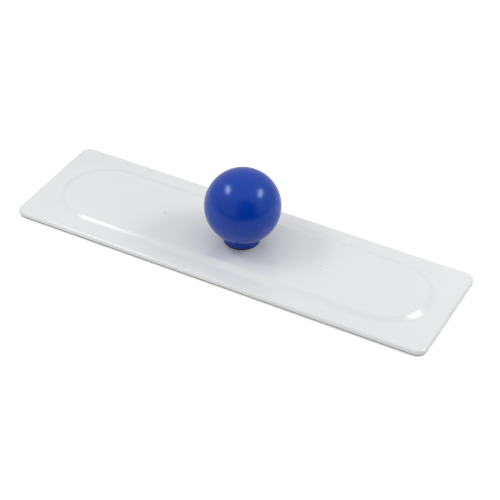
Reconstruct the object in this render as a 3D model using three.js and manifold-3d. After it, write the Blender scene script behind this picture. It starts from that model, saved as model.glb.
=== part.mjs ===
// Hand float: a moulded plate with a raised centre and a flat bonded sole, and a ball knob that
// screws onto a bolt held in the middle of the plate.
// Millimetres, +Z up. Origin: centre of the sole's working face. +X runs along the plate.

import * as THREE from 'three';
import { mergeVertices } from 'three/addons/utils/BufferGeometryUtils.js';
import Module from 'manifold-3d';

const wasm = await Module();
wasm.setup();

// ---------- Driving dimensions ----------

const PLATE_LENGTH = 330;
const PLATE_WIDTH = 100;
const PLATE_CORNER = 8;
const EDGE_TOP = 4.5; // top of the plate's rim above the working face
const EDGE_ROUND = 2.2; // rounding along the rim's upper edge

const PLATFORM_MARGIN = 13; // rim left around the raised centre
const PLATFORM_RISE = 2.5;
const PLATFORM_SLOPE = 7.8; // width of the soft slope around the raised centre

const SOLE_THICKNESS = 1.5;
const SOLE_SETBACK = 0.8; // of the sole's edge from the rim's
const SOLE_EDGE_ROUND = 0.3;

const SKIN = 2.8; // wall left above the weight-saving pockets
const POCKET_SETBACK = 1; // of the pockets from the top of the soft slope
const RIB = 2;
const RIB_PITCH = 24; // between the ribs that run across the plate
const RIB_ROW = 10; // the two ribs that run along the plate, either side of the middle
const RIB_COUNT = 5; // ribs across, on each side of the boss
const BOSS_RADIUS = 18;

const GATE_OFFSET = 64; // the two moulding gates, on the long centreline
const GATE_RADIUS = 1.1;
const GATE_DEPTH = 0.35;

const BALL_RADIUS = 28;
const BALL_CENTRE = 37.3;
const COLLAR_RADIUS = 13.85;
const COLLAR_WAIST = 13.3; // where the collar runs into the ball
const RECESS_RADIUS = 10.7; // the collar's hollow, over the clamp nut

const THREAD_RADIUS = 5; // M10 coarse
const THREAD_ROOT = 4.08;
const THREAD_PITCH = 1.5;
const THREAD_PLAY = 0.22; // radial room between a nut's thread and the bolt's
const BOLT_TOP = 30.5;
const BOLT_POINT = 2; // length of the bevel at the bolt's end

const FREE_GAP = 0.1; // between neighbours that don't bear on each other
const BURIED = 0.5; // how far one solid of a piece reaches into the next
const PAST = 1; // how far a cutting solid passes the face it opens

// ---------- Heights worked out from them ----------

const PLATFORM_TOP = EDGE_TOP + PLATFORM_RISE;
const FOOT_RADIUS = PLATE_WIDTH / 2 - PLATFORM_MARGIN;
const END_CENTRE = PLATE_LENGTH / 2 - PLATFORM_MARGIN - FOOT_RADIUS;
const WASHER = { inner: 5.3, outer: 10, height: 1.6 };
const LOCK = { inner: 5.3, outer: 9.05, height: 2.2, slot: 1.2 };
const NUT = { flats: 17, height: 5 };
const NUT_CONE = Math.PI / 6;
const WASHER_TOP = PLATFORM_TOP + WASHER.height;
const LOCK_TOP = WASHER_TOP + LOCK.height;
const NUT_TOP = LOCK_TOP + NUT.height;
const NUT_ROOM = 0.8; // between the clamp nut and the roof of the collar's hollow
const RECESS_TOP = NUT_TOP + NUT_ROOM;
const SLIP = { inner: 10.8, outer: 13.45, height: 1.2 };
const SNAP = { lip: 11.5, bead: 11.85, beadFoot: 0.9, beadTop: 1.2, height: 1.7 };
const COLLAR_BEVEL = { inset: 0.2, height: 0.4 };
const COLLAR_BAND = 2.4; // straight part of the collar, below its waist
const COLLAR_FOOT = PLATFORM_TOP + SLIP.height + FREE_GAP;
const INSERT = { flats: 14, length: 16.2, neck: 6.2, land: 5.4 };
const INSERT_FOOT = RECESS_TOP + FREE_GAP;
const HEAD = { radius: 12, height: 2, bevel: 0.4, room: 0.3 };
const HEAD_FOOT = SOLE_THICKNESS + FREE_GAP;
const NECK_SIDE = 10;
const NECK_ROOM = 0.15;

// ---------- Materials ----------

const finish = (color, roughness, metalness = 0) =>
  new THREE.MeshStandardMaterial({ color, roughness, metalness });

const WHITE_PLASTIC = () => finish(0xe3e5e9, 0.35);
const SOLE_PLASTIC = () => finish(0xa8a8a5, 0.5);
const BLUE_PLASTIC = () => finish(0x2846a5, 0.12);
const DARK_NYLON = () => finish(0x20242e, 0.5);
const ZINC_STEEL = () => finish(0xb9bcc0, 0.32, 1);
const SPRING_STEEL = () => finish(0x5b5e63, 0.4, 1);
const BRASS = () => finish(0xc79a45, 0.3, 1);

// ---------- Solids ----------

function solid(geometry) {
  const bare = geometry.clone();
  bare.deleteAttribute('normal');
  bare.deleteAttribute('uv');
  const merged = mergeVertices(bare, 1e-5);
  return new wasm.Manifold(new wasm.Mesh({
    numProp: 3,
    vertProperties: new Float32Array(merged.attributes.position.array),
    triVerts: new Uint32Array(merged.index.array),
  }));
}

function surface(body) {
  const result = body.getMesh();
  const geometry = new THREE.BufferGeometry();
  geometry.setAttribute('position', new THREE.BufferAttribute(result.vertProperties, 3));
  geometry.setIndex(new THREE.BufferAttribute(result.triVerts, 1));
  geometry.computeVertexNormals();
  return geometry;
}

function piece(name, body, material) {
  const mesh = new THREE.Mesh(surface(body), material);
  mesh.name = name;
  return mesh;
}

// A solid of revolution about Z from [radius, height] points.
function turned(profile, segments = 48) {
  const points = profile.map(([radius, height]) => new THREE.Vector2(radius, height));
  return solid(new THREE.LatheGeometry(points, segments).rotateX(Math.PI / 2));
}

function ring({ inner, outer }, bottom, top, segments = 36) {
  const profile = [[inner, bottom], [outer, bottom], [outer, top], [inner, top], [inner, bottom]];
  return turned(profile, segments);
}

function disc(radius, bottom, top, segments = 36) {
  return turned([[0, bottom], [radius, bottom], [radius, top], [0, top]], segments);
}

function block(sizeX, sizeY, bottom, top, x = 0, y = 0) {
  const geometry = new THREE.BoxGeometry(sizeX, sizeY, top - bottom);
  return solid(geometry.translate(x, y, (bottom + top) / 2));
}

// A hexagonal bar, given by the distance across its flats.
function hexagon(flats, bottom, top) {
  const radius = flats / Math.sqrt(3);
  const geometry = new THREE.CylinderGeometry(radius, radius, top - bottom, 6);
  return solid(geometry.rotateX(Math.PI / 2).translate(0, 0, (bottom + top) / 2));
}

// ---------- Outlines ----------

function roundedRectangle(length, width, radius) {
  const x = length / 2 - radius;
  const y = width / 2 - radius;
  const quarter = Math.PI / 2;
  const shape = new THREE.Shape();
  shape.absarc(x, y, radius, 0, quarter);
  shape.absarc(-x, y, radius, quarter, 2 * quarter);
  shape.absarc(-x, -y, radius, 2 * quarter, 3 * quarter);
  shape.absarc(x, -y, radius, 3 * quarter, 4 * quarter);
  shape.closePath();
  return shape;
}

// An outline raised from bottom to top, with both rims rounded.
function slab(shape, bottom, top, round, bevelSegments) {
  const geometry = new THREE.ExtrudeGeometry(shape, {
    depth: top - bottom - 2 * round,
    bevelThickness: round,
    bevelSize: round,
    bevelOffset: -round,
    bevelSegments,
    curveSegments: 7,
  });
  return solid(geometry.translate(0, 0, bottom + round));
}

// ---------- Threads ----------

// A threaded rod whose four rows of points to each pitch follow the helix: root, root, crest,
// crest. Every rod starts at a whole number of pitches from z = 0, so all threads are in step.
function threadedRod(root, crest, firstTurn, turns, segments = 18) {
  const rowHeight = [0, 0.3, 0.5, 0.8]; // in pitches
  const rowsPerTurn = rowHeight.length;
  const rowRadius = [root, root, crest, crest];
  const rows = turns * rowsPerTurn + 1;
  const points = [];
  for (let row = 0; row < rows; row++) {
    const step = row % rowsPerTurn;
    const height = firstTurn + Math.floor(row / rowsPerTurn) + rowHeight[step];
    for (let column = 0; column <= segments; column++) {
      const angle = 2 * Math.PI * column / segments;
      const z = THREAD_PITCH * (height + column / segments);
      points.push(rowRadius[step] * Math.cos(angle), rowRadius[step] * Math.sin(angle), z);
    }
  }
  const at = (row, column) => row * (segments + 1) + column;
  const faces = [];
  for (let row = 0; row < rows - 1; row++) {
    for (let column = 0; column < segments; column++) {
      const corner = at(row, column);
      const above = at(row + 1, column);
      faces.push(corner, corner + 1, above + 1, corner, above + 1, above);
    }
  }
  const last = rows - 1;
  const start = { edge: 0, stepFrom: rowsPerTurn, stepTo: 0, stepColumn: 0 };
  const end = { edge: last, stepFrom: last, stepTo: last - rowsPerTurn, stepColumn: segments };
  closeRod(points, faces, loopRound(at, start, segments).reverse(), THREAD_PITCH * firstTurn);
  closeRod(points, faces, loopRound(at, end, segments), THREAD_PITCH * (firstTurn + turns + 1));
  return weld(points, faces);
}

// The loop round one end of a rod: once along the helix, then down the step it leaves.
function loopRound(at, { edge, stepFrom, stepTo, stepColumn }, segments) {
  const loop = [];
  for (let column = 0; column <= segments; column++) {
    loop.push(at(edge, column));
  }
  for (let row = stepFrom - 1; row >= stepTo; row--) {
    loop.push(at(row, stepColumn));
  }
  return loop;
}

function closeRod(points, faces, loop, height) {
  const centre = points.length / 3;
  points.push(0, 0, height);
  for (let i = 0; i < loop.length - 1; i++) {
    faces.push(centre, loop[i], loop[i + 1]);
  }
}

function weld(points, faces) {
  const geometry = new THREE.BufferGeometry();
  geometry.setAttribute('position', new THREE.Float32BufferAttribute(points, 3));
  geometry.setIndex(faces);
  return solid(geometry);
}

// The part of a thread that lies between two heights.
function threadBetween(bottom, top, play = 0) {
  const firstTurn = Math.floor(bottom / THREAD_PITCH) - 1;
  const turns = Math.ceil(top / THREAD_PITCH) + 1 - firstTurn;
  const rod = threadedRod(THREAD_ROOT + play, THREAD_RADIUS + play, firstTurn, turns);
  return rod.intersect(disc(2 * THREAD_RADIUS, bottom, top, 12));
}

// ---------- Plate and sole ----------

// Points up the soft slope, as [distance in from its foot, height].
function slopePoints(steps = 6) {
  const points = [];
  for (let i = 0; i <= steps; i++) {
    const t = i / steps;
    points.push([PLATFORM_SLOPE * t, EDGE_TOP + PLATFORM_RISE * t * t * (3 - 2 * t)]);
  }
  return points;
}

function platformEnd(x) {
  const side = slopePoints().map(([inward, z]) => [FOOT_RADIUS - inward, z]);
  const buried = EDGE_TOP - BURIED;
  const profile = [[0, buried], [FOOT_RADIUS, buried], ...side, [0, PLATFORM_TOP]];
  return turned(profile).translate([x, 0, 0]);
}

function platformMiddle() {
  const side = slopePoints().map(([inward, z]) => new THREE.Vector2(FOOT_RADIUS - inward, z));
  const mirrored = side.map((p) => new THREE.Vector2(-p.x, p.y)).reverse();
  const buried = EDGE_TOP - BURIED;
  const shape = new THREE.Shape([
    new THREE.Vector2(-FOOT_RADIUS, buried),
    new THREE.Vector2(FOOT_RADIUS, buried),
    ...side,
    ...mirrored,
  ]);
  const bar = new THREE.ExtrudeGeometry(shape, { depth: 2 * END_CENTRE, bevelEnabled: false });
  const across = new THREE.Vector3(0, 1, 0);
  const up = new THREE.Vector3(0, 0, 1);
  const along = new THREE.Vector3(1, 0, 0);
  bar.applyMatrix4(new THREE.Matrix4().makeBasis(across, up, along));
  return solid(bar.translate(-END_CENTRE, 0, 0));
}

// The hollow under the raised centre, split up by ribs and by the boss round the bolt.
function pockets() {
  const roof = PLATFORM_TOP - SKIN;
  const radius = FOOT_RADIUS - PLATFORM_SLOPE - POCKET_SETBACK;
  const reach = 2 * (END_CENTRE + radius);
  let hollow = disc(radius, 0, roof).translate([END_CENTRE, 0, 0])
    .add(disc(radius, 0, roof).translate([-END_CENTRE, 0, 0]))
    .add(block(2 * END_CENTRE, 2 * radius, 0, roof));
  for (const side of [-1, 1]) {
    hollow = hollow.subtract(block(reach, RIB, -PAST, roof + PAST, 0, side * RIB_ROW));
    for (let i = 1; i <= RIB_COUNT; i++) {
      const x = side * i * RIB_PITCH;
      hollow = hollow.subtract(block(RIB, 2 * radius, -PAST, roof + PAST, x));
    }
  }
  return hollow.subtract(disc(BOSS_RADIUS, -PAST, roof + PAST));
}

function boltSeat() {
  const pocket = disc(HEAD.radius + HEAD.room, 0, HEAD_FOOT + HEAD.height + FREE_GAP);
  const side = NECK_SIDE + 2 * NECK_ROOM;
  return pocket.add(block(side, side, 0, PLATFORM_TOP + PAST));
}

function floatPlate() {
  const outline = roundedRectangle(PLATE_LENGTH, PLATE_WIDTH, PLATE_CORNER);
  let body = slab(outline, SOLE_THICKNESS - 2 * EDGE_ROUND, EDGE_TOP, EDGE_ROUND, 4);
  body = body.add(platformMiddle()).add(platformEnd(END_CENTRE)).add(platformEnd(-END_CENTRE));
  body = body.subtract(block(2 * PLATE_LENGTH, 2 * PLATE_WIDTH, -PLATE_WIDTH, SOLE_THICKNESS));
  body = body.subtract(pockets()).subtract(boltSeat());
  for (const x of [-GATE_OFFSET, GATE_OFFSET]) {
    const dimple = disc(GATE_RADIUS, PLATFORM_TOP - GATE_DEPTH, PLATFORM_TOP + PAST, 12);
    body = body.subtract(dimple.translate([x, 0, 0]));
  }
  return piece('float_plate', body, WHITE_PLASTIC());
}

function soleSheet() {
  const length = PLATE_LENGTH - 2 * SOLE_SETBACK;
  const width = PLATE_WIDTH - 2 * SOLE_SETBACK;
  const outline = roundedRectangle(length, width, PLATE_CORNER - SOLE_SETBACK);
  const body = slab(outline, 0, SOLE_THICKNESS, SOLE_EDGE_ROUND, 1);
  return piece('sole_sheet', body, SOLE_PLASTIC());
}

// ---------- Bolt and its clamp ----------

function knobBolt() {
  const headTop = HEAD_FOOT + HEAD.height;
  const head = turned([
    [0, HEAD_FOOT],
    [HEAD.radius, HEAD_FOOT],
    [HEAD.radius, headTop - HEAD.bevel],
    [HEAD.radius - HEAD.bevel, headTop],
    [0, headTop],
  ]);
  const neckTop = PLATFORM_TOP - FREE_GAP;
  const neck = block(NECK_SIDE, NECK_SIDE, headTop - BURIED, neckTop);
  const shankFoot = neckTop - BURIED;
  const envelope = turned([
    [0, shankFoot],
    [THREAD_RADIUS + PAST, shankFoot],
    [THREAD_RADIUS + PAST, BOLT_TOP - BOLT_POINT],
    [THREAD_ROOT - FREE_GAP, BOLT_TOP],
    [0, BOLT_TOP],
  ]);
  const shank = threadBetween(shankFoot, BOLT_TOP + PAST).intersect(envelope);
  return piece('knob_bolt', head.add(neck).add(shank), ZINC_STEEL());
}

function clampWasher() {
  return piece('clamp_washer', ring(WASHER, PLATFORM_TOP, WASHER_TOP), ZINC_STEEL());
}

function lockWasher() {
  const slotX = PAST + LOCK.outer / 2;
  const slot = block(LOCK.outer, LOCK.slot, WASHER_TOP - PAST, LOCK_TOP + PAST, slotX);
  const body = ring(LOCK, WASHER_TOP, LOCK_TOP).subtract(slot);
  return piece('lock_washer', body, SPRING_STEEL());
}

// A hexagonal nut has its corners turned off in a shallow cone at each end.
function clampNut() {
  const corner = NUT.flats / Math.sqrt(3);
  const face = NUT.flats / 2;
  const drop = (corner - face) * Math.tan(NUT_CONE);
  const crown = turned([
    [0, LOCK_TOP],
    [face, LOCK_TOP],
    [corner, LOCK_TOP + drop],
    [corner, NUT_TOP - drop],
    [face, NUT_TOP],
    [0, NUT_TOP],
  ], 36);
  const thread = threadBetween(LOCK_TOP - PAST, NUT_TOP + PAST, THREAD_PLAY);
  const body = hexagon(NUT.flats, LOCK_TOP, NUT_TOP).intersect(crown).subtract(thread);
  return piece('clamp_nut', body, ZINC_STEEL());
}

// ---------- Knob ----------

// A flat ring under the collar, whose lip snaps into the collar and lets the knob turn on it.
function slipWasher() {
  const flangeTop = PLATFORM_TOP + SLIP.height;
  const lipTop = flangeTop + SNAP.height;
  return piece('slip_washer', turned([
    [SLIP.inner, PLATFORM_TOP],
    [SLIP.outer, PLATFORM_TOP],
    [SLIP.outer, flangeTop],
    [SNAP.lip, flangeTop],
    [SNAP.lip, flangeTop + SNAP.beadFoot],
    [SNAP.bead, flangeTop + SNAP.beadTop],
    [SNAP.lip, lipTop],
    [SLIP.inner, lipTop],
    [SLIP.inner, PLATFORM_TOP],
  ], 36), DARK_NYLON());
}

// Points up the ball from where the collar meets it to its top.
function ballArc(steps = 22) {
  const meeting = Math.PI - Math.asin(COLLAR_WAIST / BALL_RADIUS);
  const points = [];
  for (let i = steps; i >= 0; i--) {
    const angle = meeting * i / steps;
    points.push([BALL_RADIUS * Math.sin(angle), BALL_CENTRE + BALL_RADIUS * Math.cos(angle)]);
  }
  return points;
}

// The ball and its collar, with the snap groove for the slip washer and the recess for the nut.
function knobBall() {
  const mouth = SNAP.lip + FREE_GAP;
  const groove = SNAP.bead + FREE_GAP;
  const grooveFoot = PLATFORM_TOP + SLIP.height + SNAP.height / 2;
  const grooveTop = PLATFORM_TOP + SLIP.height + SNAP.height + FREE_GAP;
  const shell = turned([
    [0, RECESS_TOP],
    [RECESS_RADIUS, RECESS_TOP],
    [RECESS_RADIUS, grooveTop],
    [groove, grooveTop],
    [groove, grooveFoot],
    [mouth, grooveFoot],
    [mouth, COLLAR_FOOT],
    [COLLAR_RADIUS - COLLAR_BEVEL.inset, COLLAR_FOOT],
    [COLLAR_RADIUS, COLLAR_FOOT + COLLAR_BEVEL.height],
    [COLLAR_WAIST, COLLAR_FOOT + COLLAR_BAND],
    ...ballArc(),
  ], 44);
  return piece('knob_ball', shell.subtract(insertForm(FREE_GAP)), BLUE_PLASTIC());
}

// The insert's outside: two hexagonal lands with a round neck that the plastic grips.
function insertForm(room = 0) {
  const top = INSERT_FOOT + INSERT.length;
  const flats = INSERT.flats + 2 * room;
  const lowerLand = hexagon(flats, INSERT_FOOT - 2 * room, INSERT_FOOT + INSERT.land + room);
  const upperLand = hexagon(flats, top - INSERT.land - room, top + room);
  const neck = disc(INSERT.neck + room, INSERT_FOOT + PAST, top - PAST, 24);
  return lowerLand.add(upperLand).add(neck);
}

function knobInsert() {
  const top = INSERT_FOOT + INSERT.length;
  const thread = threadBetween(INSERT_FOOT - PAST, top + PAST, THREAD_PLAY);
  return piece('knob_insert', insertForm().subtract(thread), BRASS());
}

// ---------- Assembly ----------

const board = new THREE.Group();
board.add(floatPlate(), soleSheet());

const clamp = new THREE.Group();
clamp.add(knobBolt(), clampWasher(), lockWasher(), clampNut());

const knob = new THREE.Group();
knob.add(slipWasher(), knobBall(), knobInsert());

const handFloat = new THREE.Group();
handFloat.add(board, clamp, knob);

export default handFloat;
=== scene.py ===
"""The looks of a white hand float with a blue ball knob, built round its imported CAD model.

Metres, +Z up, in the CAD model's own frame.
"""

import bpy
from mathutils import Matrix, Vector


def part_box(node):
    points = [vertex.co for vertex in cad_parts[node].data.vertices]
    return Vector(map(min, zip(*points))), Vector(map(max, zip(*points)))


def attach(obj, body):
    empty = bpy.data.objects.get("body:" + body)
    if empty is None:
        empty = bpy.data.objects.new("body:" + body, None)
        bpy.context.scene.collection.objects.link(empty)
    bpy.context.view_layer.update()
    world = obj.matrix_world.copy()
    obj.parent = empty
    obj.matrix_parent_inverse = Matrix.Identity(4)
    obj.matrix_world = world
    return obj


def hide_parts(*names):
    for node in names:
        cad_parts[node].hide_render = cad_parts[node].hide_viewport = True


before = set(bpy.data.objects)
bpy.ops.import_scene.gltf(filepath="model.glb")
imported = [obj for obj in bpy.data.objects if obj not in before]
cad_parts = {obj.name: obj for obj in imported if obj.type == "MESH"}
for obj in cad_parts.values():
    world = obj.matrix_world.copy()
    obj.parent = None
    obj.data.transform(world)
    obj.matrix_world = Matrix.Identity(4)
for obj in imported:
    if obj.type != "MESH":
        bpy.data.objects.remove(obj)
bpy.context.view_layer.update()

import math

import bpy
import bmesh
from mathutils import Matrix, Quaternion, Vector

MM = 0.001

# ---------- Sizes taken from the CAD frame ----------

PLATE_LOW, PLATE_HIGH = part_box("float_plate")
SOLE_LOW, SOLE_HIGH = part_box("sole_sheet")
BALL_LOW, BALL_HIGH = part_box("knob_ball")
BOLT_LOW, BOLT_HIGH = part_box("knob_bolt")
WASHER_LOW, WASHER_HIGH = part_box("clamp_washer")
LOCK_LOW, LOCK_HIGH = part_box("lock_washer")
NUT_LOW, NUT_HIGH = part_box("clamp_nut")
SLIP_LOW, SLIP_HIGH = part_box("slip_washer")
INSERT_LOW, INSERT_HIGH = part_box("knob_insert")

PLATE_TOP = PLATE_HIGH.z
SEAM = PLATE_LOW.z
BALL_RADIUS = BALL_HIGH.x
BALL_CENTRE = BALL_HIGH.z - BALL_RADIUS
COLLAR_FOOT = BALL_LOW.z

# ---------- Sizes the frame's boxes don't give ----------

PLATE_CORNER = 8 * MM
RIM_TOP = 4.5 * MM
RIM_ROUND = 2.2 * MM
RIM_LIP = 0.2 * MM  # the small round along the rim's lower edge
RIM_STRIP = 0.5 * MM  # flat strip beside the rim's round and beside each end of the soft slope
SOLE_ROUND = 0.3 * MM
PLATFORM_MARGIN = 13 * MM
SLOPE_WIDTH = 7.8 * MM
SKIN = 2.8 * MM
POCKET_SETBACK = 1 * MM
RIB = 2 * MM
RIB_PITCH = 24 * MM
RIB_ROW = 10 * MM
RIB_COUNT = 5
BOSS_RADIUS = 18 * MM
GATE_OFFSET = 64 * MM
GATE_RADIUS = 1.1 * MM
GATE_DEPTH = 0.35 * MM
HEAD_HEIGHT = 2 * MM
HEAD_ROOM = 0.3 * MM
HEAD_LOWER_ROUND = 0.3 * MM
HEAD_UPPER_ROUND = 0.4 * MM
NECK_SIDE = 10 * MM
NECK_CORNER = 0.5 * MM
NECK_ROOM = 0.15 * MM
NECK_HOLE_CORNER = 0.4 * MM
BOLT_POINT = 2 * MM
WASHER_BORE = 5.3 * MM
WASHER_BORE_ROUND = 0.12 * MM
WASHER_EDGE_ROUND = 0.25 * MM
LOCK_GAP = 1.2 * MM
LOCK_ROUND = 0.2 * MM
LOCK_SLANT = 0.35  # how far the washer's ends lean for each unit of height
NUT_CHAMFER = math.radians(30)
NUT_FACE = 0.46  # radius of the nut's flat face, as a share of the distance across its flats
SLIP_BORE = 10.8 * MM
SLIP_FLANGE = 1.2 * MM
SNAP_LIP = 11.5 * MM
SNAP_BEAD = 11.85 * MM
SNAP_BEAD_FOOT = 0.9 * MM
SNAP_BEAD_TOP = 1.2 * MM
SNAP_GROOVE_FOOT = 0.85 * MM
COLLAR_RADIUS = 13.85 * MM
COLLAR_WAIST = 13.3 * MM
COLLAR_BAND = 2.4 * MM
RECESS_RADIUS = 10.7 * MM
INSERT_LAND = 5.4 * MM
INSERT_NECK = 6.2 * MM
INSERT_EDGE = 0.35 * MM
THREAD_CREST = 5 * MM
THREAD_ROOT = 4.08 * MM
THREAD_PITCH = 1.5 * MM
THREAD_PLAY = 0.22 * MM
ROOT_ROUND = 0.12  # shares of the thread's depth
CREST_ROUND = 0.06
LEAD_IN_DEPTH = 1.2 * MM
LEAD_IN_ROOM = 0.25 * MM
FREE_GAP = 0.1 * MM
BURIED = 0.5 * MM  # how far one solid of a piece reaches into the next
PAST = 1 * MM  # how far a cutter reaches past what it cuts
TINY = 1e-9
WELD = 1e-7

SOLE_CORNER = PLATE_CORNER - (PLATE_HIGH.x - SOLE_HIGH.x)
FOOT_RADIUS = PLATE_HIGH.y - PLATFORM_MARGIN
FOOT_HALF_LENGTH = PLATE_HIGH.x - PLATFORM_MARGIN
SHANK_FOOT = PLATE_TOP - FREE_GAP - BURIED


# ---------- Mesh building ----------


def outline(half_length, half_width, radius, z, arc_steps=16):
    """A closed loop of points round a rectangle with rounded corners."""
    points = []
    for quarter, (side_x, side_y) in enumerate(((1, 1), (-1, 1), (-1, -1), (1, -1))):
        centre_x = side_x * (half_length - radius)
        centre_y = side_y * (half_width - radius)
        for step in range(arc_steps + 1):
            angle = math.pi / 2 * (quarter + step / arc_steps)
            x = centre_x + radius * math.cos(angle)
            y = centre_y + radius * math.sin(angle)
            points.append((x, y, z))
    return points


def inset_outline(half_length, half_width, radius, inset, z):
    return outline(half_length - inset, half_width - inset, radius - inset, z)


def circle(radius, z, count=96):
    turns = [2 * math.pi * i / count for i in range(count)]
    return [(radius * math.cos(t), radius * math.sin(t), z) for t in turns]


def hexagon_reach(flats, angle):
    """How far a hexagon reaches from its centre at an angle, with flats facing +X and -X."""
    folded = (angle + math.pi / 6) % (math.pi / 3) - math.pi / 6
    return flats / 2 / math.cos(folded)


def hexagon_ring(flats, z, limit, count=96):
    """A hexagonal loop, cut back to a circle of radius limit where it reaches past it."""
    points = []
    for i in range(count):
        angle = 2 * math.pi * i / count
        reach = min(hexagon_reach(flats, angle), limit)
        points.append((reach * math.cos(angle), reach * math.sin(angle), z))
    return points


def loft(bm, rings, close_loop=False):
    """Joins loops of equal length by quads. The first and last get flat faces, or join up in a ring."""
    loops = [[bm.verts.new(p) for p in ring] for ring in rings]
    pairs = list(zip(loops, loops[1:]))
    if close_loop:
        pairs.append((loops[-1], loops[0]))
    for lower, upper in pairs:
        for i in range(len(lower)):
            j = (i + 1) % len(lower)
            bm.faces.new((lower[i], lower[j], upper[j], upper[i]))
    if not close_loop:
        bm.faces.new(list(reversed(loops[0])))
        bm.faces.new(loops[-1])


def revolve(bm, profile, count=128):
    """A solid of revolution about Z from (radius, height) points that start and end on the axis."""
    columns = []
    for radius, z in profile:
        if radius < TINY:
            columns.append([bm.verts.new((0, 0, z))])
        else:
            columns.append([bm.verts.new(point) for point in circle(radius, z, count)])
    for lower, upper in zip(columns, columns[1:]):
        for i in range(count):
            j = (i + 1) % count
            corners = (
                lower[i % len(lower)], lower[j % len(lower)],
                upper[j % len(upper)], upper[i % len(upper)],
            )
            distinct = list(dict.fromkeys(corners))
            if len(distinct) > 2:
                bm.faces.new(distinct)


def revolve_ring(bm, profile, count=128):
    """A ring about Z from a closed loop of (radius, height) points."""
    loft(bm, [circle(radius, z, count) for radius, z in profile], close_loop=True)


def fillet(before, corner, after, radius, steps=5):
    """Points along a round of the given radius in the corner of a (radius, height) profile."""
    corner = Vector(corner)
    to_before = (Vector(before) - corner).normalized()
    to_after = (Vector(after) - corner).normalized()
    half = to_before.angle(to_after) / 2
    tangent = radius / math.tan(half)
    centre = corner + (to_before + to_after).normalized() * (radius / math.sin(half))
    start = corner + to_before * tangent - centre
    end = corner + to_after * tangent - centre
    sweep = start.angle(end)
    points = []
    for i in range(steps + 1):
        t = i / steps
        blend = (math.sin((1 - t) * sweep) * start + math.sin(t * sweep) * end) / math.sin(sweep)
        points.append(tuple(centre + blend))
    return points


def rounded_profile(corners):
    """A (radius, height) profile from (point, rounding) pairs, with 0 for a sharp corner."""
    result = []
    points = [point for point, rounding in corners]
    for i, (point, rounding) in enumerate(corners):
        if rounding == 0:
            result.append(point)
        else:
            result += fillet(points[i - 1], point, points[(i + 1) % len(points)], rounding)
    return result


def new_object(name, bm):
    bmesh.ops.remove_doubles(bm, verts=bm.verts, dist=WELD)
    bmesh.ops.recalc_face_normals(bm, faces=bm.faces)
    mesh = bpy.data.meshes.new(name)
    bm.to_mesh(mesh)
    bm.free()
    obj = bpy.data.objects.new(name, mesh)
    bpy.context.scene.collection.objects.link(obj)
    return obj


def built(name, builder, *sizes):
    bm = bmesh.new()
    builder(bm, *sizes)
    return new_object(name, bm)


def apply_modifiers(obj):
    graph = bpy.context.evaluated_depsgraph_get()
    mesh = bpy.data.meshes.new_from_object(obj.evaluated_get(graph))
    obj.modifiers.clear()
    obj.data = mesh


def combine(obj, operation, *others, overlapping=False):
    """Cuts or joins obj by other objects, which are used up."""
    for other in others:
        modifier = obj.modifiers.new("combine", "BOOLEAN")
        modifier.operation = operation
        modifier.object = other
        modifier.solver = "EXACT"
        modifier.use_self = overlapping
    apply_modifiers(obj)
    for other in others:
        bpy.data.objects.remove(other)
    return obj


def smooth(obj, sharp_angle=35):
    """Smooth shading, with corners past sharp_angle kept crisp and flat faces kept flat."""
    obj.data.polygons.foreach_set("use_smooth", [True] * len(obj.data.polygons))
    obj.data.set_sharp_from_angle(angle=math.radians(sharp_angle))
    modifier = obj.modifiers.new("flat_faces_win", "WEIGHTED_NORMAL")
    modifier.keep_sharp = True
    modifier.weight = 100


def add_piece(obj, node, body, material):
    obj.data.materials.clear()
    obj.data.materials.append(material)
    smooth(obj)
    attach(obj, body)
    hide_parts(node)


# ---------- Threads ----------


def threaded_rod(bm, bottom, top, play=0.0, count=64):
    """A rod with a right-hand thread. Its rows of points follow the helix, in step with z = 0."""
    root = THREAD_ROOT + play
    crest = THREAD_CREST + play
    depth = crest - root
    above_root = root + ROOT_ROUND * depth
    below_crest = crest - CREST_ROUND * depth
    rows_of_turn = (
        (0.00, root), (0.16, root), (0.22, above_root), (0.44, below_crest),
        (0.50, crest), (0.66, crest), (0.72, below_crest), (0.94, above_root),
    )
    first = math.floor(bottom / THREAD_PITCH) - 1
    turns = math.ceil(top / THREAD_PITCH) + 1 - first
    profile = []
    for turn in range(first, first + turns):
        profile += [(turn + share, radius) for share, radius in rows_of_turn]
    profile.append((first + turns, root))
    rows = []
    for height, radius in profile:
        row = []
        for i in range(count + 1):
            angle = 2 * math.pi * i / count
            z = THREAD_PITCH * (height + i / count)
            row.append(bm.verts.new((radius * math.cos(angle), radius * math.sin(angle), z)))
        rows.append(row)
    for lower, upper in zip(rows, rows[1:]):
        for i in range(count):
            bm.faces.new((lower[i], lower[i + 1], upper[i + 1], upper[i]))
    step = len(rows_of_turn)
    foot = rows[0] + [rows[i][0] for i in range(step - 1, -1, -1)]
    head = rows[-1] + [rows[i][count] for i in range(len(rows) - 2, len(rows) - 2 - step, -1)]
    close_with_fan(bm, foot, THREAD_PITCH * first)
    close_with_fan(bm, head, THREAD_PITCH * (first + turns + 1))


def close_with_fan(bm, loop, height):
    centre = bm.verts.new((0, 0, height))
    for a, b in zip(loop, loop[1:]):
        if (a.co - b.co).length > TINY:
            bm.faces.new((centre, a, b))


# ---------- Plate and sole ----------


def slope_height(share):
    """Height up the soft slope at a share of its width, flat at its foot and at its top."""
    return RIM_TOP + (PLATE_TOP - RIM_TOP) * share * share * (3 - 2 * share)


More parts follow.
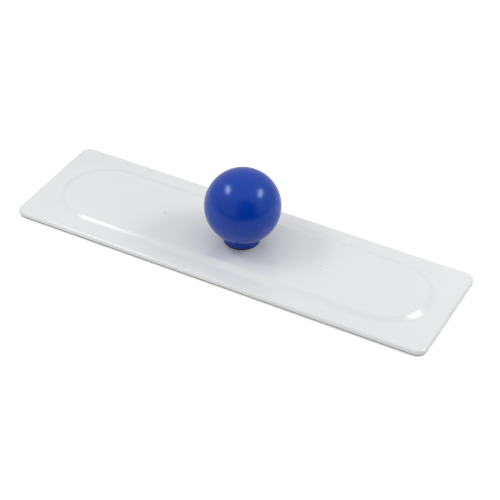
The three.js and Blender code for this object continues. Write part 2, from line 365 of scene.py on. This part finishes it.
def plate_shell(bm):
    """The plate's outside: its side, the rounded rim, the soft slope and the flat raised centre."""
    rim = (PLATE_HIGH.x, PLATE_HIGH.y, PLATE_CORNER)
    part_way = 0.3 * RIM_LIP
    rings = [
        inset_outline(*rim, RIM_LIP, SEAM),
        inset_outline(*rim, part_way, SEAM + part_way),
        inset_outline(*rim, 0, SEAM + RIM_LIP),
    ]
    round_steps = 12
    for i in range(round_steps + 1):
        angle = math.pi / 2 * i / round_steps
        inset = RIM_ROUND * (1 - math.cos(angle))
        rings.append(inset_outline(*rim, inset, RIM_TOP - RIM_ROUND * (1 - math.sin(angle))))
    rings.append(inset_outline(*rim, RIM_ROUND + RIM_STRIP, RIM_TOP))
    foot = (FOOT_HALF_LENGTH, FOOT_RADIUS, FOOT_RADIUS)
    rings.append(inset_outline(*foot, -RIM_STRIP, RIM_TOP))
    slope_steps = 20
    for i in range(slope_steps + 1):
        share = i / slope_steps
        rings.append(inset_outline(*foot, SLOPE_WIDTH * share, slope_height(share)))
    rings.append(inset_outline(*foot, SLOPE_WIDTH + RIM_STRIP, PLATE_TOP))
    loft(bm, rings)


def prism(bm, ring_of, low, high):
    loft(bm, [ring_of(low), ring_of(high)])


def box_solid(bm, centre_x, centre_y, size_x, size_y, low, high):
    matrix = Matrix.Translation((centre_x, centre_y, (low + high) / 2))
    matrix = matrix @ Matrix.Diagonal((size_x, size_y, high - low, 1))
    bmesh.ops.create_cube(bm, size=1, matrix=matrix)


def rib_grid(bm, low, high):
    """The ribs and the boss under the raised centre, as overlapping blocks."""
    for side in (-1, 1):
        box_solid(bm, 0, side * RIB_ROW, 2 * FOOT_HALF_LENGTH, RIB, low, high)
        for i in range(1, RIB_COUNT + 1):
            box_solid(bm, side * i * RIB_PITCH, 0, RIB, 2 * FOOT_RADIUS, low, high)
    prism(bm, lambda z: circle(BOSS_RADIUS, z), low, high)


def pocket_cutter():
    """The hollow between the ribs."""
    roof = PLATE_TOP - SKIN
    inset = SLOPE_WIDTH + POCKET_SETBACK
    foot = (FOOT_HALF_LENGTH, FOOT_RADIUS, FOOT_RADIUS)
    hollow = built("pockets", prism, lambda z: inset_outline(*foot, inset, z), -RIM_TOP, roof)
    ribs = built("ribs", rib_grid, -2 * RIM_TOP, 2 * PLATE_TOP)
    return combine(hollow, "DIFFERENCE", ribs, overlapping=True)


def bolt_seat(bm):
    roof = BOLT_LOW.z + HEAD_HEIGHT + FREE_GAP
    prism(bm, lambda z: circle(BOLT_HIGH.x + HEAD_ROOM, z), -RIM_TOP, roof)


def neck_hole(bm):
    half = NECK_SIDE / 2 + NECK_ROOM
    prism(bm, lambda z: outline(half, half, NECK_HOLE_CORNER, z, 4), 0, 2 * PLATE_TOP)


def gate_dimples(bm):
    """Two shallow dimples, each with the stub of its moulding gate left standing in it."""
    shape = ((0, 0.4), (0.35, 0.45), (0.45, 1), (0.75, 1), (1, 0.3))  # shares of radius and depth
    profile = [(GATE_RADIUS * out, PLATE_TOP - GATE_DEPTH * deep) for out, deep in shape]
    profile += [(1.1 * GATE_RADIUS, PLATE_TOP + PAST), (0, PLATE_TOP + PAST)]
    for side in (-1, 1):
        before = len(bm.verts)
        revolve(bm, profile, 32)
        bm.verts.ensure_lookup_table()
        bmesh.ops.translate(bm, verts=bm.verts[before:], vec=(side * GATE_OFFSET, 0, 0))


def make_float_plate(material):
    plate = built("float_plate_moulding", plate_shell)
    openings = [built("seat", bolt_seat), built("hole", neck_hole), built("gates", gate_dimples)]
    combine(plate, "DIFFERENCE", pocket_cutter(), *openings)
    add_piece(plate, "float_plate", "board", material)


def sole_shell(bm):
    rim = (SOLE_HIGH.x, SOLE_HIGH.y, SOLE_CORNER)
    rings = []
    steps = 8
    for i in range(steps + 1):
        angle = math.pi / 2 * i / steps
        inset = SOLE_ROUND * (1 - math.sin(angle))
        rings.append(inset_outline(*rim, inset, SOLE_LOW.z + SOLE_ROUND * (1 - math.cos(angle))))
    rings.append(inset_outline(*rim, 0, SOLE_HIGH.z))
    loft(bm, rings)


def make_sole(material):
    add_piece(built("sole_face", sole_shell), "sole_sheet", "board", material)


# ---------- Bolt, washers and nut ----------


def bolt_head(bm):
    low = BOLT_LOW.z
    high = low + HEAD_HEIGHT
    wide = BOLT_HIGH.x
    revolve(bm, rounded_profile([
        ((0, low), 0),
        ((wide, low), HEAD_LOWER_ROUND),
        ((wide, high), HEAD_UPPER_ROUND),
        ((0, high), 0),
    ]))


def bolt_neck(bm):
    half = NECK_SIDE / 2
    low = BOLT_LOW.z + HEAD_HEIGHT - BURIED
    prism(bm, lambda z: outline(half, half, NECK_CORNER, z, 4), low, PLATE_TOP - FREE_GAP)


def bolt_point(bm):
    """What is left of the threaded rod: a cylinder with a bevelled end."""
    wide = THREAD_CREST + PAST
    top = BOLT_HIGH.z
    profile = [
        (0, SHANK_FOOT), (wide, SHANK_FOOT), (wide, top - BOLT_POINT),
        (THREAD_ROOT - FREE_GAP, top), (0, top),
    ]
    revolve(bm, profile, 96)


def make_bolt(material):
    shank = built("bolt", threaded_rod, SHANK_FOOT, BOLT_HIGH.z + PAST)
    combine(shank, "INTERSECT", built("point", bolt_point))
    combine(shank, "UNION", built("head", bolt_head), built("neck", bolt_neck))
    shank.name = "knob_bolt_threaded"
    add_piece(shank, "knob_bolt", "board", material)


def make_washer(material):
    inner, outer = WASHER_BORE, WASHER_HIGH.x
    low, high = WASHER_LOW.z, WASHER_HIGH.z
    profile = rounded_profile([
        ((inner, low), WASHER_BORE_ROUND), ((outer, low), WASHER_EDGE_ROUND),
        ((outer, high), WASHER_BORE_ROUND), ((inner, high), WASHER_EDGE_ROUND),
    ])
    washer = built("clamp_washer_punched", revolve_ring, profile)
    add_piece(washer, "clamp_washer", "board", material)


def split_ring(bm):
    """A spring washer: one turn of square wire, pressed flat, with slanted ends."""
    inner, outer = WASHER_BORE, LOCK_HIGH.y
    low, high = LOCK_LOW.z, LOCK_HIGH.z
    corners = [(inner, low), (outer, low), (outer, high), (inner, high)]
    section = rounded_profile([(corner, LOCK_ROUND) for corner in corners])
    gap = LOCK_GAP / 2
    steps = 90
    rings = []
    for i in range(steps + 1):
        share = i / steps
        ring = []
        for radius, z in section:
            lean = LOCK_SLANT * (z - (low + high) / 2)
            start = (gap + lean) / radius
            end = 2 * math.pi - (gap - lean) / radius
            angle = start + (end - start) * share
            ring.append((radius * math.cos(angle), radius * math.sin(angle), z))
        rings.append(ring)
    loft(bm, rings)


def make_lock_washer(material):
    washer = built("lock_washer_split", split_ring)
    add_piece(washer, "lock_washer", "board", material)


def nut_body(bm):
    """A hexagonal nut with its corners turned off in a shallow cone at each end."""
    flats = NUT_HIGH.x - NUT_LOW.x
    past_flats = flats / math.sqrt(3) - flats / 2
    drop = past_flats * math.tan(NUT_CHAMFER)
    steps = 8
    shares = [i / steps for i in range(steps + 1)]
    rings = [circle(NUT_FACE * flats, NUT_LOW.z)]
    for share in shares:
        rings.append(hexagon_ring(flats, NUT_LOW.z + drop * share, flats / 2 + past_flats * share))
    for share in reversed(shares):
        rings.append(hexagon_ring(flats, NUT_HIGH.z - drop * share, flats / 2 + past_flats * share))
    rings.append(circle(NUT_FACE * flats, NUT_HIGH.z))
    loft(bm, rings)


def countersink(bm, z, upward):
    """The cone that opens the end of a tapped hole, at a height, facing up (1) or down (-1)."""
    wide = THREAD_CREST + THREAD_PLAY + LEAD_IN_ROOM
    inside, outside = z - upward * LEAD_IN_DEPTH, z + upward * PAST
    profile = [(0, inside), (wide - LEAD_IN_DEPTH, inside), (wide + PAST, outside), (0, outside)]
    revolve(bm, profile, 96)


def cut_thread(obj, low, high):
    cutters = [
        built("tap", threaded_rod, low - PAST, high + PAST, THREAD_PLAY),
        built("lead_in_low", countersink, low, -1),
        built("lead_in_high", countersink, high, 1),
    ]
    for cutter in cutters:
        combine(obj, "DIFFERENCE", cutter)


def make_nut(material):
    nut = built("clamp_nut_thin", nut_body)
    cut_thread(nut, NUT_LOW.z, NUT_HIGH.z)
    add_piece(nut, "clamp_nut", "board", material)


# ---------- Knob ----------


def make_slip_washer(material):
    foot = SLIP_LOW.z
    flange = foot + SLIP_FLANGE
    top = SLIP_HIGH.z
    profile = rounded_profile([
        ((SLIP_BORE, foot), 0.2 * MM),
        ((SLIP_HIGH.x, foot), 0.25 * MM),
        ((SLIP_HIGH.x, flange), 0.25 * MM),
        ((SNAP_LIP, flange), 0.1 * MM),
        ((SNAP_LIP, flange + SNAP_BEAD_FOOT), 0.1 * MM),
        ((SNAP_BEAD, flange + SNAP_BEAD_TOP), 0.1 * MM),
        ((SNAP_LIP, top), 0.1 * MM),
        ((SLIP_BORE, top), 0.15 * MM),
    ])
    ring = built("slip_washer_ring", revolve_ring, profile)
    add_piece(ring, "slip_washer", "slip_ring", material)


def ball_profile():
    """The knob's profile: the recess for the nut, the snap groove, the collar and the ball."""
    recess_top = INSERT_LOW.z - FREE_GAP
    mouth = SNAP_LIP + FREE_GAP
    groove = SNAP_BEAD + FREE_GAP
    groove_foot = SLIP_LOW.z + SLIP_FLANGE + SNAP_GROOVE_FOOT
    groove_top = SLIP_HIGH.z + FREE_GAP
    meeting = math.asin(COLLAR_WAIST / BALL_RADIUS)
    meeting_z = BALL_CENTRE - BALL_RADIUS * math.cos(meeting)
    reach = 5 * MM
    along_ball = (COLLAR_WAIST + reach, meeting_z + reach * math.tan(meeting))
    profile = rounded_profile([
        ((0, recess_top), 0),
        ((RECESS_RADIUS, recess_top), 0.5 * MM),
        ((RECESS_RADIUS, groove_top), 0.1 * MM),
        ((groove, groove_top), 0),
        ((groove, groove_foot), 0.1 * MM),
        ((mouth, groove_foot), 0.1 * MM),
        ((mouth, COLLAR_FOOT), 0.15 * MM),
        ((COLLAR_RADIUS, COLLAR_FOOT), 0.35 * MM),
        ((COLLAR_WAIST, COLLAR_FOOT + COLLAR_BAND), 1.5 * MM),
        ((COLLAR_WAIST, meeting_z), 0.8 * MM),
        (along_ball, 0),
    ])
    profile.pop()
    joined = Vector(profile[-1])
    start = math.atan2(joined.x, BALL_CENTRE - joined.y)
    steps = 72
    for i in range(1, steps + 1):
        angle = start + (math.pi - start) * i / steps
        profile.append((BALL_RADIUS * math.sin(angle), BALL_CENTRE - BALL_RADIUS * math.cos(angle)))
    profile[-1] = (0, BALL_HIGH.z)
    return profile


def hexagonal_land(flats, low, high, edge):
    """The loops of a hexagonal length of bar. With an edge above 0, its corners are turned off."""
    corner = flats / math.sqrt(3)
    rings = [hexagon_ring(flats, low + edge, corner), hexagon_ring(flats, high - edge, corner)]
    if edge > 0:
        turned = corner - 2 * edge
        rings = [hexagon_ring(flats, low, turned), *rings, hexagon_ring(flats, high, turned)]
    return rings


def insert_body(bm, room, edge):
    """The insert's outside: two hexagonal lands, and between them the neck that the plastic grips."""
    flats = INSERT_HIGH.x - INSERT_LOW.x + 2 * room
    neck = INSERT_NECK + room
    lower_end = INSERT_LOW.z + INSERT_LAND + room
    upper_start = INSERT_HIGH.z - INSERT_LAND - room
    loft(bm, [
        *hexagonal_land(flats, INSERT_LOW.z - 2 * room, lower_end, edge),
        circle(neck, lower_end),
        circle(neck, upper_start),
        *hexagonal_land(flats, upper_start, INSERT_HIGH.z + room, edge),
    ])


def make_ball(material):
    ball = built("knob_ball_moulding", revolve, ball_profile(), 160)
    combine(ball, "DIFFERENCE", built("insert_room", insert_body, FREE_GAP, 0))
    add_piece(ball, "knob_ball", "knob", material)


def make_insert(material):
    insert = built("knob_insert_threaded", insert_body, 0, INSERT_EDGE)
    cut_thread(insert, INSERT_LOW.z, INSERT_HIGH.z)
    add_piece(insert, "knob_insert", "knob", material)


# ---------- Materials ----------


def opaque(colour):
    return (*colour, 1) if isinstance(colour, tuple) else colour


class Nodes:
    """A short way to write a node tree."""

    def __init__(self, tree):
        self.tree = tree
        tree.nodes.clear()

    def add(self, kind, inputs=None, **settings):
        node = self.tree.nodes.new(kind)
        for key, value in settings.items():
            setattr(node, key, value)
        for key, value in (inputs or {}).items():
            if isinstance(value, bpy.types.NodeSocket):
                self.tree.links.new(value, node.inputs[key])
            else:
                node.inputs[key].default_value = value
        return node

    def noise(self, scale, detail=3.0, stretch=(1, 1, 1)):
        place = self.add("ShaderNodeTexCoord").outputs["Object"]
        mapped = self.add("ShaderNodeMapping", {"Vector": place, "Scale": stretch}).outputs["Vector"]
        texture = self.add("ShaderNodeTexNoise", {"Vector": mapped, "Scale": scale, "Detail": detail})
        return texture.outputs["Fac"]

    def spread(self, value, low, high, from_low=0.3, from_high=0.7):
        """Maps a noise value onto a range."""
        inputs = {
            "Value": value, "From Min": from_low, "From Max": from_high, "To Min": low, "To Max": high,
        }
        return self.add("ShaderNodeMapRange", inputs).outputs["Result"]

    def mix(self, factor, first, second):
        """Blends two colours, each (red, green, blue) or a socket. The sockets go by number."""
        inputs = {0: factor, 6: opaque(first), 7: opaque(second)}
        return self.add("ShaderNodeMix", inputs, data_type="RGBA").outputs[2]

    def bump(self, height, distance, strength, normal=None):
        inputs = {"Height": height, "Distance": distance, "Strength": strength}
        if normal is not None:
            inputs["Normal"] = normal
        return self.add("ShaderNodeBump", inputs).outputs["Normal"]


def finish_material(name, build, **fixed):
    """A material whose surface inputs come from build(nodes) and from fixed values."""
    material = bpy.data.materials.new(name)
    material.use_nodes = True
    nodes = Nodes(material.node_tree)
    inputs = {**fixed, **build(nodes)}
    surface = nodes.add("ShaderNodeBsdfPrincipled", inputs)
    nodes.add("ShaderNodeOutputMaterial", {"Surface": surface.outputs["BSDF"]})
    return material


def white_plastic():
    def build(n):
        tone = n.mix(n.spread(n.noise(18), 0, 1), (0.665, 0.675, 0.680), (0.680, 0.690, 0.695))
        speck = n.spread(n.noise(900, 2), 0, 1, 0.62, 0.75)
        colour = n.mix(n.spread(speck, 0, 0.05, 0, 1), tone, (0.5, 0.5, 0.52))
        grain = n.bump(n.noise(2600, 2), 0.004 * MM, 0.5)
        swell = n.bump(n.noise(60, 1), 0.02 * MM, 0.25, grain)
        return {"Base Color": colour, "Roughness": n.spread(n.noise(140), 0.17, 0.22), "Normal": swell}
    return finish_material("white_plastic", build, IOR=1.49)


def sole_plastic():
    def build(n):
        # Painted shade: the sole's own colour is not known, and this dark grey stands in for the shade
        # line under the front edge of the rim.
        tone = n.mix(n.spread(n.noise(25), 0, 1), (0.30, 0.30, 0.285), (0.34, 0.34, 0.325))
        rubbed = n.noise(90, 4, (1, 14, 1))
        scratches = n.bump(rubbed, 0.02 * MM, 0.3)
        return {"Base Color": tone, "Roughness": n.spread(rubbed, 0.38, 0.55), "Normal": scratches}
    return finish_material("sole_plastic", build, IOR=1.5)


def blue_plastic():
    def build(n):
        tone = n.mix(n.spread(n.noise(30), 0, 1), (0.0008, 0.0345, 0.315), (0.0012, 0.038, 0.335))
        handled = n.spread(n.noise(220, 4), 0.20, 0.25)
        peel = n.bump(n.noise(160, 1), 0.01 * MM, 0.3)
        dust = n.bump(n.noise(1800, 2), 0.003 * MM, 0.3, peel)
        return {"Base Color": tone, "Roughness": handled, "Normal": dust,
                "Specular Tint": (0.65, 0.8, 1.0, 1)}
    return finish_material("blue_plastic", build, IOR=1.46)


def dark_nylon():
    def build(n):
        tone = n.mix(n.noise(120), (0.010, 0.014, 0.03), (0.018, 0.022, 0.04))
        return {"Base Color": tone, "Roughness": n.spread(n.noise(400), 0.4, 0.55),
                "Normal": n.bump(n.noise(1500, 2), 0.005 * MM, 0.5)}
    return finish_material("dark_nylon", build, IOR=1.53)


def zinc_steel():
    def build(n):
        tone = n.mix(n.spread(n.noise(160), 0, 1), (0.52, 0.54, 0.58), (0.62, 0.61, 0.56))
        return {"Base Color": tone, "Roughness": n.spread(n.noise(500, 4), 0.26, 0.42),
                "Normal": n.bump(n.noise(1400, 3), 0.006 * MM, 0.5)}
    return finish_material("zinc_steel", build, Metallic=1.0)


def spring_steel():
    def build(n):
        tone = n.mix(n.spread(n.noise(220), 0, 1), (0.09, 0.095, 0.105), (0.15, 0.14, 0.13))
        return {"Base Color": tone, "Roughness": n.spread(n.noise(600, 4), 0.34, 0.5),
                "Normal": n.bump(n.noise(1800, 3), 0.006 * MM, 0.5)}
    return finish_material("spring_steel", build, Metallic=1.0)


def turned_brass():
    def build(n):
        tone = n.mix(n.spread(n.noise(180), 0, 1), (0.56, 0.33, 0.08), (0.66, 0.42, 0.13))
        tool_marks = n.noise(300, 2, (0.2, 0.2, 12))
        return {"Base Color": tone, "Roughness": n.spread(tool_marks, 0.24, 0.36),
                "Normal": n.bump(tool_marks, 0.01 * MM, 0.4)}
    return finish_material("turned_brass", build, Metallic=1.0)


# ---------- Studio ----------

# The camera that fits the photo's perspective.
CAMERA_PLACE = Vector((0.42044, -0.83922, 0.71462))
CAMERA_AIM = Vector((0.00734, -0.00029, 0))
CAMERA_ROLL = math.radians(2.28)
CAMERA_LENS = 115.8
SENSOR_WIDTH = 36
NEAR_CLIP = 0.05
VIEW_AZIMUTH = math.radians(26.2)

LAMP_DISTANCE = 0.45
LAMP_WIDTH = 0.09
LAMP_LENGTH = 0.2
LAMP_POWER = 0.53
FILL_DISTANCE = 0.8
FILL_WIDTH = 0.6
FILL_HEIGHT = 0.3
FRONT_FILL = 1.15
RIGHT_FILL = 0.45
SKY_LOW = 0.62
SKY_HIGH = 0.92
SKY_DARK = 0.0
GAP_INNER = math.radians(27)  # the surround is dark inside this angle and pale past the next
GAP_OUTER = math.radians(37)
FLOOR_SIZE = 2.5
FLOOR_TONE = 0.9
FLOOR_GLOW = 0.25
FLOOR_BOUNCE = 0.8
PAPER_FADE = (0.17, 0.27)  # where the paper darkens towards the camera

# Directions as the photographer sees them: ACROSS is to the right, BEYOND is away from the camera.
ACROSS = Vector((math.cos(VIEW_AZIMUTH), math.sin(VIEW_AZIMUTH), 0))
BEYOND = Vector((-math.sin(VIEW_AZIMUTH), math.cos(VIEW_AZIMUTH), 0))
UP = Vector((0, 0, 1))


def seen_direction(right, away, up):
    """A direction given as the photographer sees it: to the right, away from the camera, and up."""
    return (right * ACROSS + away * BEYOND + up * UP).normalized()


LEFT_LAMP = seen_direction(-0.635, 0.03, 0.745)
RIGHT_LAMP = seen_direction(0.715, -0.025, 0.68)
FRONT_FILL_SIDE = seen_direction(-0.35, -0.9, 0.3)
RIGHT_FILL_SIDE = seen_direction(0.9, -0.4, 0.25)
GAP_MIDDLE = seen_direction(0.17, -0.93, 0.33)


def make_camera():
    camera = bpy.data.objects.new("camera", bpy.data.cameras.new("camera"))
    camera.data.lens = CAMERA_LENS
    camera.data.sensor_width = SENSOR_WIDTH
    camera.data.clip_start = NEAR_CLIP
    facing = (CAMERA_AIM - CAMERA_PLACE).to_track_quat("-Z", "Y")
    roll = Quaternion((0, 0, 1), CAMERA_ROLL)
    camera.rotation_mode = "QUATERNION"
    camera.rotation_quaternion = facing @ roll
    camera.location = CAMERA_PLACE
    bpy.context.scene.collection.objects.link(camera)
    bpy.context.scene.camera = camera


def softbox(name, direction, distance, width, length, power):
    """A soft light aimed at the ball, its length running away from the camera."""
    light = bpy.data.lights.new(name, "AREA")
    light.shape = "ELLIPSE"
    light.size = width
    light.size_y = length
    light.energy = power
    long_side = (BEYOND - BEYOND.dot(direction) * direction).normalized()
    short_side = long_side.cross(direction)
    obj = bpy.data.objects.new(name, light)
    obj.location = Vector((0, 0, BALL_CENTRE)) + direction * distance
    obj.visible_camera = False
    obj.rotation_mode = "QUATERNION"
    obj.rotation_quaternion = Matrix((short_side, long_side, direction)).transposed().to_quaternion()
    bpy.context.scene.collection.objects.link(obj)
    return obj


def make_lamps():
    """Two long softboxes either side of the table, and two wide fills from low down."""
    key = (LAMP_DISTANCE, LAMP_WIDTH, LAMP_LENGTH, LAMP_POWER)
    softbox("left_softbox", LEFT_LAMP, *key)
    softbox("right_softbox", RIGHT_LAMP, *key)
    fill = (FILL_DISTANCE, FILL_WIDTH, FILL_HEIGHT)
    fills = (
        softbox("front_fill", FRONT_FILL_SIDE, *fill, FRONT_FILL),
        softbox("right_fill", RIGHT_FILL_SIDE, *fill, RIGHT_FILL),
    )
    for lamp in fills:
        lamp.visible_glossy = False  # they brighten what faces them without a highlight


def make_sky():
    """A pale surround, brighter overhead and dark towards the camera, where the photographer stands."""
    world = bpy.data.worlds.new("studio")
    world.use_nodes = True
    n = Nodes(world.node_tree)
    direction = n.add("ShaderNodeTexCoord").outputs["Generated"]
    axes = {0: direction, 1: tuple(GAP_MIDDLE)}
    towards = n.add("ShaderNodeVectorMath", axes, operation="DOT_PRODUCT")
    gap = n.spread(towards.outputs["Value"], 0, 1, math.cos(GAP_OUTER), math.cos(GAP_INNER))
    height = n.add("ShaderNodeSeparateXYZ", {"Vector": direction}).outputs["Z"]
    pale = n.mix(n.spread(height, 0, 1, 0, 1), (SKY_LOW,) * 3, (SKY_HIGH,) * 3)
    colour = n.mix(gap, pale, (SKY_DARK,) * 3)
    background = n.add("ShaderNodeBackground", {"Color": colour, "Strength": 1.0})
    n.add("ShaderNodeOutputWorld", {"Surface": background.outputs["Background"]})
    bpy.context.scene.world = world


def floor_paper():
    """White paper. It shows bright to the camera, and the light it gives back fades near the camera."""
    material = bpy.data.materials.new("floor_paper")
    material.use_nodes = True
    n = Nodes(material.node_tree)
    tone = n.mix(n.noise(4), (0.98 * FLOOR_TONE,) * 3, (FLOOR_TONE,) * 3)
    seen = n.add("ShaderNodeBsdfPrincipled", {
        "Base Color": tone, "Roughness": 0.7,
        "Emission Color": (1, 1, 1, 1), "Emission Strength": FLOOR_GLOW,
    })
    place = n.add("ShaderNodeTexCoord").outputs["Object"]
    nearer = n.add("ShaderNodeVectorMath", {0: place, 1: tuple(-BEYOND)}, operation="DOT_PRODUCT")
    fade = n.spread(nearer.outputs["Value"], 0, 1, *PAPER_FADE)
    reflected = n.mix(fade, (FLOOR_BOUNCE,) * 3, (0, 0, 0))
    bounce = n.add("ShaderNodeBsdfDiffuse", {"Color": reflected})
    ray = n.add("ShaderNodeLightPath").outputs["Is Camera Ray"]
    both = n.add("ShaderNodeMixShader", {0: ray, 1: bounce.outputs["BSDF"], 2: seen.outputs["BSDF"]})
    n.add("ShaderNodeOutputMaterial", {"Surface": both.outputs["Shader"]})
    return material


def floor_sheet(bm):
    bmesh.ops.create_grid(bm, x_segments=8, y_segments=8, size=FLOOR_SIZE)


def make_floor():
    floor = built("floor", floor_sheet)
    floor.location.z = SOLE_LOW.z
    floor.data.materials.append(floor_paper())


def make_studio():
    make_camera()
    make_lamps()
    make_sky()
    make_floor()
    bpy.context.scene.view_settings.view_transform = "Standard"


# ---------- Build ----------


def build_float():
    white, sole, blue, nylon = white_plastic(), sole_plastic(), blue_plastic(), dark_nylon()
    zinc, spring, brass = zinc_steel(), spring_steel(), turned_brass()
    make_float_plate(white)
    make_sole(sole)
    make_bolt(zinc)
    make_washer(zinc)
    make_lock_washer(spring)
    make_nut(zinc)
    make_slip_washer(nylon)
    make_ball(blue)
    make_insert(brass)


build_float()
make_studio()
